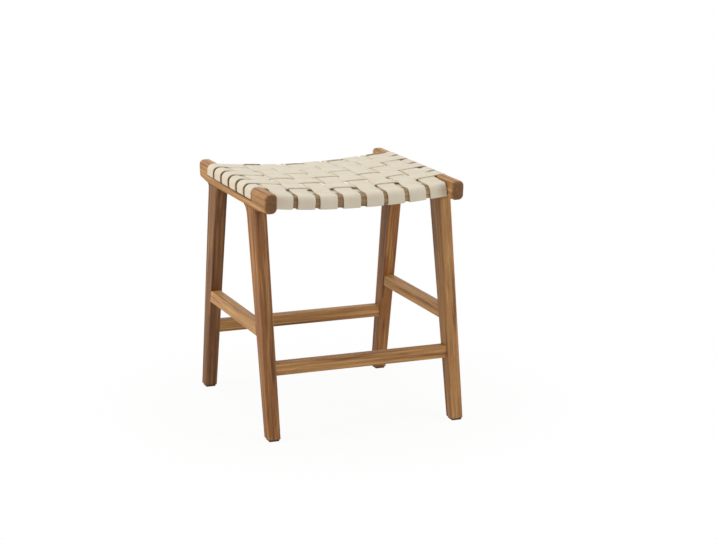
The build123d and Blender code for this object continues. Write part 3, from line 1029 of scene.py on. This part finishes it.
@dataclass
class WovenSeat:
    """Eight front to back straps, six side to side straps, plain woven, and two edge straps.

    A strap's middle line is a chain of straight runs with round bends. Its section is a
    rounded oblong with a slightly crowned face.
    """

    # The frame that carries the straps, as in the solids. A share counts from the middle to
    # the side, or from one side to the other where there is a row of them.
    overall_width: float = 512.0
    overall_height: float = 604.5
    frame_thick: float = 32.0
    rail_length: float = 525.0
    seat_rail_share: float = 0.875
    seat_rail_depth: float = 40.0
    seat_rail_height: float = 28.0
    seat_rail_drop: float = 23.6
    saddle_rise: float = 12.7
    seat_rail_round: float = 11.0
    # The straps and how the weave lies over the saddle, as in the solids.
    strap_share: float = 0.098
    strap_thick: float = 3.0
    strap_clear: float = 0.3
    weave_edge_gap: float = 0.8
    edge_lift: float = 4.0
    crown_rise: float = 10.0
    tuck_length: float = 21.0
    # The beds and slots of the side rails, as in the solids.
    bed_depth_side: float = 1.3
    bed_depth_top: float = 2.4
    bed_depth_inside: float = 0.5
    bed_round_outer: float = 12.0
    bed_round_inner: float = 13.5
    rail_height: float = 48.6
    slot_sill: float = 17.0
    slot_height: float = 5.5
    slot_depth: float = 10.0
    # Places of the straps, and how high each front to back strap rides, as in the solids.
    long_shares: tuple = (0.0638, 0.1880, 0.3140, 0.4460, 0.5782, 0.6989, 0.8227, 0.9436)
    lift_shares: tuple = (1.0, 0.45, 0.12, 0.0, 0.0, 0.12, 0.45, 1.0)
    crown_shares: tuple = (0.12, 0.75, 0.95, 1.0, 1.0, 0.95, 0.75, 0.12)
    cross_shares: tuple = (0.2370, 0.3486, 0.4650, 0.5793, 0.6926, 0.8067)
    # Radius of each kind of bend.
    weave_bend: float = 30.0
    tuck_bend: float = 3.2
    slot_bend: float = 2.6
    # The section: radius of its edges, rise of its face, and height at which that begins.
    edge_round: float = 0.9
    crown: float = 0.35
    crown_from: float = 0.4
    # How much wider the weave presses a strap, and between which distances that fades.
    long_pressed: tuple[float, float, float] = (0.04, 130.0, 185.0)
    cross_pressed: tuple[float, float, float] = (0.075, 180.0, 218.0)
    edge_pressed: tuple[float, float, float] = (0.0, 1.0, 2.0)
    # How far a strap and each of its edges wander, over which lengths, and the first seeds.
    wander: tuple[float, float] = (0.35, 0.25)
    wander_lengths: tuple[float, float] = (45.0, 160.0)
    long_seed: int = 11
    cross_seed: int = 51
    edge_seed: int = 91
    # Radius of a bend at which the leather creases fully.
    crease_bend: float = 12.0
    # Spacing of points along runs, angle between them on arcs, and points of the section.
    step: float = 3.0
    arc_step: float = 0.09
    face_points: int = 13
    corner_points: int = 4
    # The edge straps: gap to the seat rail, gap to the side rails, points, and slopes.
    edge_strap_gap: float = 1.2
    edge_strap_end: float = 3.0
    edge_strap_points: int = 15
    edge_strap_rises: tuple[float, float] = (2.7, 1.0)

    def __post_init__(self) -> None:
        """Work out the places that the sizes give."""
        self.inner_half = self.overall_width / 2 - self.frame_thick
        self.half_strap = self.strap_share * self.inner_half
        self.rail_half = self.rail_length / 2
        self.seat_face = self.seat_rail_share * self.rail_half
        self.seat_back = self.seat_face - self.seat_rail_depth
        self.saddle_low = self.overall_height - self.seat_rail_drop
        rise = self.saddle_rise
        self.saddle_radius = (self.inner_half**2 + rise**2) / (2 * rise)
        self.strap_mid = self.strap_clear + self.strap_thick / 2
        self.weave_offset = (self.strap_thick + self.strap_clear) / 2
        self.bed_face = self.overall_width / 2 - self.bed_depth_side
        self.bed_inside = self.inner_half + self.bed_depth_inside
        self.bed_top = self.overall_height - self.strap_thick - self.strap_clear
        rail_bottom = self.bed_top + self.bed_depth_top - self.rail_height
        self.slot_top = rail_bottom + self.slot_sill + self.slot_height
        self.slot_back = self.bed_face - self.slot_depth
        self.long_places = [-self.inner_half + s * 2 * self.inner_half for s in self.long_shares]
        self.cross_places = [-self.rail_half + s * self.rail_length for s in self.cross_shares]

    def saddle_at(self, place: float) -> float:
        """Height of the curved seat rail's top at a place across the width."""
        return self.saddle_low + self.saddle_radius - math.sqrt(self.saddle_radius**2 - place**2)

    def tilt_at(self, place: float) -> float:
        """Slope angle of the curved seat rail's top at a place across the width."""
        return math.asin(place / self.saddle_radius)

    def sign(self, long_index: int, cross_index: int) -> int:
        """1 where the front to back strap is on top, else -1."""
        return 1 if (long_index + cross_index) % 2 == 0 else -1

    def lift_at(self, long_index: int, cross_index: int) -> float:
        """Rise of the weave over the curve of the seat rails, which tight straps hold up.

        lift = edge_lift * e + crown_rise * c * (1 - (y / back)^2), with a strap's own shares
        e and c, the crossing's place y and the inner face of the seat rails at back.

        Args:
            long_index: Number of the front to back strap from the left, from 0.
            cross_index: Number of the side to side strap from the front, from 0.

        Returns:
            Height in millimetres.
        """
        bow = 1 - (self.cross_places[cross_index] / self.seat_back) ** 2
        lift = self.edge_lift * self.lift_shares[long_index]
        return lift + self.crown_rise * self.crown_shares[long_index] * bow

    def long_route(self, index: int) -> tuple[list, list]:
        """Corners and bends of a front to back strap, in its own upright plane.

        Args:
            index: Number of the strap from the left, from 0.

        Returns:
            Corners (y, height over the seat rail's top) and the radius at each inner one.
        """
        under = -self.seat_rail_height - self.strap_mid
        face = self.seat_face + self.strap_mid
        route = [(-self.seat_face + self.tuck_length, under), (-face, under)]
        route += [(-face, self.strap_mid), (-self.seat_back, self.strap_mid)]
        bends = [self.tuck_bend, self.seat_rail_round + self.strap_mid, self.weave_bend]
        reach = self.half_strap + self.weave_edge_gap
        for cross_index, centre in enumerate(self.cross_places):
            height = self.strap_mid + self.lift_at(index, cross_index)
            height += self.sign(index, cross_index) * self.weave_offset
            route += [(centre - reach, height), (centre + reach, height)]
            bends += [self.weave_bend, self.weave_bend]
        route += [(self.seat_back, self.strap_mid), (face, self.strap_mid), (face, under)]
        route += [(self.seat_face - self.tuck_length, under)]
        bends += [self.weave_bend, self.seat_rail_round + self.strap_mid, self.tuck_bend]
        return route, bends

    def leaving_corner(self, target: tuple[float, float]) -> tuple[float, float]:
        """Corner where a strap leaves the level top of the left rail towards a lower point.

        The run from the corner touches the circle on which the strap turns over the rail's
        inner edge, and ends at the point.

        Args:
            target: The lower point (x, z).

        Returns:
            The corner (x, z).
        """
        radius = self.bed_round_inner + self.strap_mid
        centre = (-self.bed_inside - self.bed_round_inner, self.bed_top - self.bed_round_inner)
        away = (target[0] - centre[0], target[1] - centre[1])
        reach = math.hypot(*away)
        touch = math.atan2(away[1], away[0]) + math.acos(radius / reach)
        point = (centre[0] + radius * math.cos(touch), centre[1] + radius * math.sin(touch))
        top = self.bed_top + self.strap_mid
        return (point[0] - (top - point[1]) / math.cos(touch) * math.sin(touch), top)

    def cross_route(self, index: int) -> tuple[list, list]:
        """Corners and bends of a side to side strap, in its own upright plane.

        Args:
            index: Number of the strap from the front, from 0.

        Returns:
            Corners (x, z) and the radius at each inner one.
        """
        crossings = []
        reach = self.half_strap + self.weave_edge_gap
        for long_index, place in enumerate(self.long_places):
            cos, sin = math.cos(self.tilt_at(place)), math.sin(self.tilt_at(place))
            height = self.strap_mid + self.lift_at(long_index, index)
            height -= self.sign(long_index, index) * self.weave_offset
            middle = (place - height * sin, self.saddle_at(place) + height * cos)
            for way in (-reach, reach):
                crossings.append((middle[0] + way * cos, middle[1] + way * sin))
        first = self.leaving_corner(crossings[0])
        last = self.leaving_corner((-crossings[-1][0], crossings[-1][1]))
        slot_level = self.slot_top - self.strap_mid
        face = self.bed_face + self.strap_mid
        inside = self.slot_back + self.strap_clear
        top = self.bed_top + self.strap_mid
        route = [(-inside, slot_level), (-face, slot_level), (-face, top), first]
        route += crossings + [(-last[0], last[1]), (face, top), (face, slot_level)]
        route += [(inside, slot_level)]
        outer = self.bed_round_outer + self.strap_mid
        inner = self.bed_round_inner + self.strap_mid
        bends = [self.slot_bend, outer, inner] + [self.weave_bend] * len(crossings)
        bends += [inner, outer, self.slot_bend]
        return route, bends

    def trace(self, route: list, bends: list) -> tuple[np.ndarray, np.ndarray, np.ndarray]:
        """Sample a route with round bends at a few millimetres' spacing.

        Each corner gives way to an arc of its radius r, tangent to both runs at
        r * tan(turn / 2) from the corner. The points between two arcs lie on a line.

        Args:
            route: Corners of the route.
            bends: Radius at each inner corner.

        Returns:
            Points (n, 2), unit directions (n, 2) and how sharply each point bends, 0 to 1.
        """
        corners = np.array(route, float)
        ways = np.diff(corners, axis=0)
        ways /= np.linalg.norm(ways, axis=1)[:, None]
        points, heads, sharp = [corners[:1]], [ways[:1]], [np.zeros(1)]
        for number, radius in enumerate(bends):
            before, after = ways[number], ways[number + 1]
            cross = before[0] * after[1] - before[1] * after[0]
            turn = math.atan2(cross, float(before @ after))
            start = corners[number + 1] - before * radius * math.tan(abs(turn) / 2)
            run = np.linalg.norm(start - points[-1][-1])
            shares = np.linspace(0, 1, max(int(run / self.step), 1) + 1)[1:-1, None]
            points.append(points[-1][-1] + (start - points[-1][-1]) * shares)
            heads.append(np.repeat(before[None], len(shares), 0))
            sharp.append(np.zeros(len(shares)))
            angles = np.linspace(0, turn, max(int(abs(turn) / self.arc_step), 3) + 1)
            normal = np.array([-before[1], before[0]]) * math.copysign(1.0, turn)
            points.append(start + normal * radius + turned(-normal, angles) * radius)
            heads.append(turned(before, angles))
            sharp.append(np.full(len(angles), min(self.crease_bend / radius, 1.0)))
        run = np.linalg.norm(corners[-1] - points[-1][-1])
        shares = np.linspace(0, 1, max(int(run / self.step), 1) + 1)[1:, None]
        points.append(points[-1][-1] + (corners[-1] - points[-1][-1]) * shares)
        heads.append(np.repeat(ways[-1][None], len(shares), 0))
        sharp.append(np.zeros(len(shares)))
        return np.vstack(points), np.vstack(heads), np.concatenate(sharp)

    def section(self) -> tuple[np.ndarray, np.ndarray, np.ndarray]:
        """Closed outline of the strap across its length, a flat oblong with round corners.

        The corners are quarter circles of edge_round.

        Returns:
            Places across, heights, and distance round the outline from the face's middle,
            all in millimetres. The last is negative on the left half.
        """
        half, thick, bend = self.half_strap, self.strap_thick / 2, self.edge_round
        across = np.linspace(half - bend, bend - half, self.face_points)
        level_top = np.full(self.face_points, thick)
        quarter = np.linspace(0, math.pi / 2, self.corner_points)[1:-1]
        corner = np.stack([np.cos(quarter), np.sin(quarter)], 1) * bend
        corner += [half - bend, thick - bend]
        ring = np.vstack(
            [
                [[half, thick - bend]],
                corner,
                np.stack([across, level_top], 1),
                corner[::-1] * [-1, 1],
                [[-half, thick - bend], [-half, bend - thick]],
                corner * [-1, -1],
                np.stack([-across, -level_top], 1),
                corner[::-1] * [1, -1],
                [[half, bend - thick]],
            ]
        )
        edge = np.linalg.norm(np.diff(np.vstack([ring, ring[:1]]), axis=0), axis=1)
        run = np.concatenate([[0.0], np.cumsum(edge)[:-1]])
        middle = run[1 + len(corner) + self.face_points // 2]
        total = edge.sum()
        around = (middle - run + total / 2) % total - total / 2
        return ring[:, 0], ring[:, 1], around

    def strap_mesh(
        self,
        name: str,
        lines: tuple[np.ndarray, np.ndarray, np.ndarray],
        plane: StrapPlane,
        seed: int,
        pressed: tuple[float, float, float],
    ) -> bpy.types.Object:
        """Carry the section along a traced route and close both ends.

        A point of the surface is P(s, v) = C(s) + w(v) * A + h(v) * N(s), where C is the
        middle line, A the direction across the strap and N its normal. The face rises by
        crown * (1 - (w / half)^2) above the flat. Slow seeded waves of a few tenths of a
        millimetre move the edges, as in strap cut by hand.

        Args:
            name: Name of the piece.
            lines: Points, directions and bend of the route, from trace().
            plane: Plane of the route.
            seed: Number that fixes this strap's waves.
            pressed: Share by which the strap is wider where the weave presses it flat, and
                the distances from the middle, along the first axis, between which that fades.

        Returns:
            The strap as a mesh object.
        """
        points, heads, bend = lines
        width, height, around = self.section()
        gaps = np.linalg.norm(np.diff(points, axis=0), axis=1)
        run = np.concatenate([[0.0], np.cumsum(gaps)])
        along, up_way = np.array(plane.along), np.array(plane.up_way)
        centre = np.array(plane.origin) + points[:, :1] * along + points[:, 1:] * up_way
        normal = -heads[:, 1:] * along + heads[:, :1] * up_way
        rng = np.random.default_rng(seed)
        phases = rng.uniform(0, 2 * math.pi, (4, 2))
        lengths = rng.uniform(*self.wander_lengths, 4)
        wave = np.sin(2 * math.pi * run[:, None] / lengths + phases[:, 0]).mean(1)
        other = np.sin(2 * math.pi * run[:, None] / lengths[::-1] + phases[:, 1]).mean(1)
        wider = 1 + pressed[0] * np.interp(np.abs(points[:, 0]), pressed[1:], [1.0, 0.0])
        shaped = width[None, :] * wider[:, None]
        shaped += self.wander[0] * wave[:, None]
        shaped += self.wander[1] * other[:, None] * np.sign(width)[None, :]
        room = self.strap_thick / 2 - self.crown_from
        face = np.clip((height - self.crown_from) / room, 0, 1)
        lifted = height + self.crown * face * (1 - (width / self.half_strap) ** 2)
        grid = (
            centre[:, None, :]
            + shaped[:, :, None] * np.array(plane.across)
            + lifted[None, :, None] * normal[:, None, :]
        )
        count, ring = len(points), len(width)
        faces = ring_quads(count, ring)[:, ::-1].tolist()
        faces += [list(range(ring)), list(range((count - 1) * ring, count * ring))[::-1]]
        strap = new_piece(name, grid.reshape(-1, 3), faces)
        mesh = strap.data
        loops = np.empty(len(mesh.loops), np.int32)
        mesh.loops.foreach_get("vertex_index", loops)
        metres = np.stack([np.repeat(run, ring)[loops], np.tile(around, count)[loops]], 1) * MM
        layer = mesh.uv_layers.new(name="strap_metres")
        layer.data.foreach_set("uv", metres.astype(np.float32).ravel())
        mark = mesh.attributes.new("strap_bend", "FLOAT", "POINT")
        mark.data.foreach_set("value", np.repeat(bend, ring).astype(np.float32))
        return strap

    def hand_over(
        self, piece: bpy.types.Object, material: bpy.types.Material, node: str | None = None
    ) -> None:
        """Finish one strap and let it stand for its solid, where it has one.

        Args:
            piece: The strap.
            material: Its finish.
            node: The solid's name, or None for a strap that the solids lack.
        """
        piece.data.materials.append(material)
        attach(piece, "root")
        if node:
            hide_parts(node)
        count = len(piece.data.polygons)
        log.info("%s stands for %s with %d faces", piece.name, node or "no solid", count)

    def build(self) -> None:
        """Build all straps: front to back, side to side, and at the edges."""
        leather = PaintedStrapLeather(half_mm=self.half_strap).build()
        for index, place in enumerate(self.long_places):
            cos, sin = math.cos(self.tilt_at(place)), math.sin(self.tilt_at(place))
            plane = StrapPlane(
                origin=(place, 0.0, self.saddle_at(place)),
                along=(0.0, 1.0, 0.0),
                up_way=(-sin, 0.0, cos),
                across=(cos, 0.0, sin),
            )
            lines = self.trace(*self.long_route(index))
            name = f"leather_long_{index + 1}"
            piece = self.strap_mesh(name, lines, plane, self.long_seed + index, self.long_pressed)
            self.hand_over(piece, leather, f"long_strap_{index + 1}")
        for index, place in enumerate(self.cross_places):
            plane = StrapPlane(
                origin=(0.0, place, 0.0),
                along=(1.0, 0.0, 0.0),
                up_way=(0.0, 0.0, 1.0),
                across=(0.0, -1.0, 0.0),
            )
            lines = self.trace(*self.cross_route(index))
            name = f"leather_cross_{index + 1}"
            piece = self.strap_mesh(name, lines, plane, self.cross_seed + index, self.cross_pressed)
            self.hand_over(piece, leather, f"cross_strap_{index + 1}")
        front_rise, back_rise = self.edge_strap_rises
        for name, way, rise in (("front", -1, front_rise), ("back", 1, back_rise)):
            piece = self.edge_strap(f"leather_edge_{name}", way, rise)
            self.hand_over(piece, leather)

    def edge_strap(self, name: str, way: int, rise: float) -> bpy.types.Object:
        """A strap right behind a seat rail, under all front to back straps.

        Its middle line follows the saddle, z(x) = saddle(x) + height. It leans along its
        width, from a seat rail's top edge up to just under the outermost side to side strap.

        Args:
            name: Name of the piece.
            way: -1 for the front, 1 for the back.
            rise: How much higher its inner edge lies than its outer one, in millimetres.

        Returns:
            The strap as a mesh object.
        """
        lean = math.asin(rise / (2 * self.half_strap))
        cos, sin = math.cos(lean), way * math.sin(lean)
        middle = self.seat_back - self.edge_strap_gap - self.half_strap * cos
        height = rise / 2 - self.strap_thick / 2 - self.crown / 2
        plane = StrapPlane(
            origin=(0.0, way * middle, self.saddle_low + height),
            along=(1.0, 0.0, 0.0),
            up_way=(0.0, sin, cos),
            across=(0.0, -cos, sin),
        )
        end = self.inner_half - self.edge_strap_end
        places = np.linspace(-end, end, self.edge_strap_points)
        route = [(float(x), self.saddle_at(x) - self.saddle_low) for x in places]
        lines = self.trace(route, [self.weave_bend] * (len(route) - 2))
        return self.strap_mesh(name, lines, plane, self.edge_seed + way, self.edge_pressed)


@dataclass
class TackHeads:
    """Low domed heads of the tacks that hold the front to back straps under the seat rails.

    A head is a surface of revolution: height h(r) = top * sqrt(1 - (fit * r / radius)^2),
    and 0 at its rim.

    Attributes:
        seat: The seat whose straps they hold.
        radius: Radius of a head.
        top: Height of a head.
        fit: Share of a full dome that a head has, just under 1.
        hub: Radius of the flat middle, as a share of the head's.
        sides: Corners round a head.
        rings: Rings from rim to middle.
        inset: Distance of the heads from the seat rail's outer face.
        shift: Distance of the two heads of a strap from its middle.
    """

    seat: WovenSeat
    radius: float = 4.0
    top: float = 1.5
    fit: float = 0.98
    hub: float = 0.15
    sides: int = 20
    rings: int = 5
    inset: float = 13.0
    shift: float = 12.0

    def dome(self) -> tuple[np.ndarray, np.ndarray, np.ndarray]:
        """Corners of one head, ring by ring from the rim to the flat middle.

        Returns:
            Places to the right, places to the front, and heights, in millimetres.
        """
        reach = np.linspace(1.0, self.hub, self.rings) * self.radius
        rise = self.top * np.sqrt(1 - (reach / self.radius * self.fit) ** 2)
        rise[0] = 0.0
        turn = np.linspace(0, 2 * math.pi, self.sides, endpoint=False)
        right = (reach[:, None] * np.cos(turn)).ravel()
        front = (reach[:, None] * np.sin(turn)).ravel()
        return right, front, np.repeat(rise, self.sides)

    def build(self) -> None:
        """Two heads at each strap end, one piece for each seat rail."""
        seat, steel = self.seat, AgedSteel().build()
        dome_x, dome_y, dome_h = (places[:, None] for places in self.dome())
        quads = ring_quads(self.rings, self.sides)
        rim = np.arange(self.sides)
        hub = rim + (self.rings - 1) * self.sides
        below = seat.seat_rail_height + seat.strap_clear + seat.strap_thick
        for end, way in (("front", -1.0), ("back", 1.0)):
            points, faces = [], []
            for place in seat.long_places:
                cos, sin = math.cos(seat.tilt_at(place)), math.sin(seat.tilt_at(place))
                right, down = np.array([cos, 0.0, sin]), np.array([sin, 0.0, -cos])
                base = np.array([place, way * (seat.seat_face - self.inset), seat.saddle_at(place)])
                for shift in (-self.shift, self.shift):
                    start = len(points) * len(dome_h)
                    centre = base + right * shift + down * below
                    front = np.array([0.0, -1.0, 0.0])
                    points.append(centre + dome_x * right + dome_y * front + dome_h * down)
                    faces += (quads + start).tolist()
                    faces += [(hub + start).tolist(), (rim[::-1] + start).tolist()]
            piece = new_piece(f"tack_heads_{end}", np.vstack(points), faces)
            piece.data.materials.append(steel)
            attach(piece, "root")
            log.info("%s with %d faces", piece.name, len(faces))


def main() -> None:
    """Load the frame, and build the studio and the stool."""
    logging.basicConfig(level=logging.INFO, format="%(name)s: %(message)s")
    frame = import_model()
    Studio().build()
    SideFramesAndRails().build(frame["nodes"])
    seat = WovenSeat()
    seat.build()
    TackHeads(seat).build()


if __name__ == "__main__":
    main()
